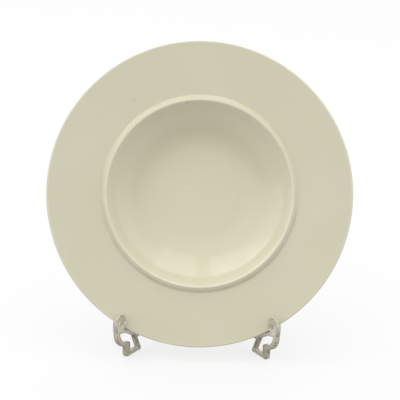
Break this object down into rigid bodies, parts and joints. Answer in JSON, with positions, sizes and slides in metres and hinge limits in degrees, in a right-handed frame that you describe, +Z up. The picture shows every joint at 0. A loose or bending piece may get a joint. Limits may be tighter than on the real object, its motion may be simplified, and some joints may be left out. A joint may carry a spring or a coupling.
{
  "type": "deep dish on a folding display stand",
  "caption": "Cream glazed wide-rim deep dish with a beaded well, leaning back in a small clear plastic stand that folds flat on a hinge pin.",
  "frame": {"origin": "where the stand's hinge axis meets the table, at the middle of the hinge pin's flat foot", "axes": "+Z up along the hinge axis, -Y to the front, where the dish faces, +X to the right as seen from the front"},
  "size_m": [0.3, 0.1253, 0.2967],
  "materials": {
    "cream_glaze": "cream glossy glaze with a faint yellow-green pooling in the hollow by the bead",
    "clear_plastic": "clear moulded plastic, polished, slightly grey-brown in its thick edges"
  },
  "bodies": {
    "hinge_pin": {"hinge_pin": "clear_plastic"},
    "left_frame": {"left_side_frame": "clear_plastic"},
    "right_frame": {"right_side_frame": "clear_plastic"},
    "dish": {"dish": "cream_glaze"}
  },
  "joints": [
    {"name": "dish_lift", "type": "slide", "parent": "hinge_pin", "child": "dish", "axis": [0, 0.342, 0.9397], "range_m": [0, 0.3]},
    {"name": "left_fold", "type": "hinge", "parent": "hinge_pin", "child": "left_frame", "pos_m": [0, 0, 0], "axis": [0, 0, 1], "range_deg": [0, 31.5]},
    {"name": "right_fold", "type": "hinge", "parent": "hinge_pin", "child": "right_frame", "pos_m": [0, 0, 0], "axis": [0, 0, -1], "range_deg": [0, 31.5]}
  ],
  "couplings": [
    {"joint": "left_fold", "follows": "dish_lift", "rad_per_m": 1.832},
    {"joint": "right_fold", "follows": "dish_lift", "rad_per_m": 1.832}
  ]
}
